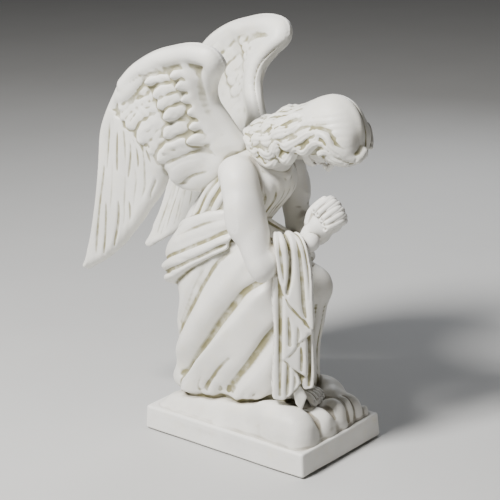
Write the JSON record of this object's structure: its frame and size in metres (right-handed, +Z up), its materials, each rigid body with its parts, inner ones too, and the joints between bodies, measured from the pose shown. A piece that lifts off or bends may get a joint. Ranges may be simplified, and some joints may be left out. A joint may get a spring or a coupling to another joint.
{
  "type": "kneeling angel figurine",
  "caption": "Tabletop resin statuette of a winged angel kneeling in prayer on rocky ground over a rectangular plinth with a felt underside.",
  "frame": {"origin": "centre of the felt underside, in the plane that the figurine stands on", "axes": "+Z up, +X the way the figure faces along the plinth's long side, +Y the figure's left"},
  "size_m": [0.2391, 0.0967, 0.3018],
  "materials": {
    "plinth_resin": "satin",
    "rock_resin": "satin",
    "drapery_resin": "satin",
    "skin_resin": "satin",
    "hair_resin": "satin",
    "wing_resin": "satin",
    "felt": "matte",
    "pin_steel": "satin"
  },
  "bodies": {
    "root": {"felt_pad": "felt", "plinth": "plinth_resin", "ground_rock": "rock_resin", "robe_skirt": "drapery_resin", "knee_gown": "drapery_resin", "left_foot": "skin_resin", "mantle_roll": "drapery_resin", "bodice": "drapery_resin", "arm_drape": "drapery_resin", "right_arm": "skin_resin", "left_arm": "skin_resin", "right_hand": "skin_resin", "left_hand": "skin_resin", "head": "skin_resin", "hair": "hair_resin", "right_wing": "wing_resin", "left_wing": "wing_resin", "right_wing_pins": "pin_steel", "left_wing_pins": "pin_steel", "neck_pin": "pin_steel", "foot_pins": "pin_steel"}
  },
  "joints": []
}
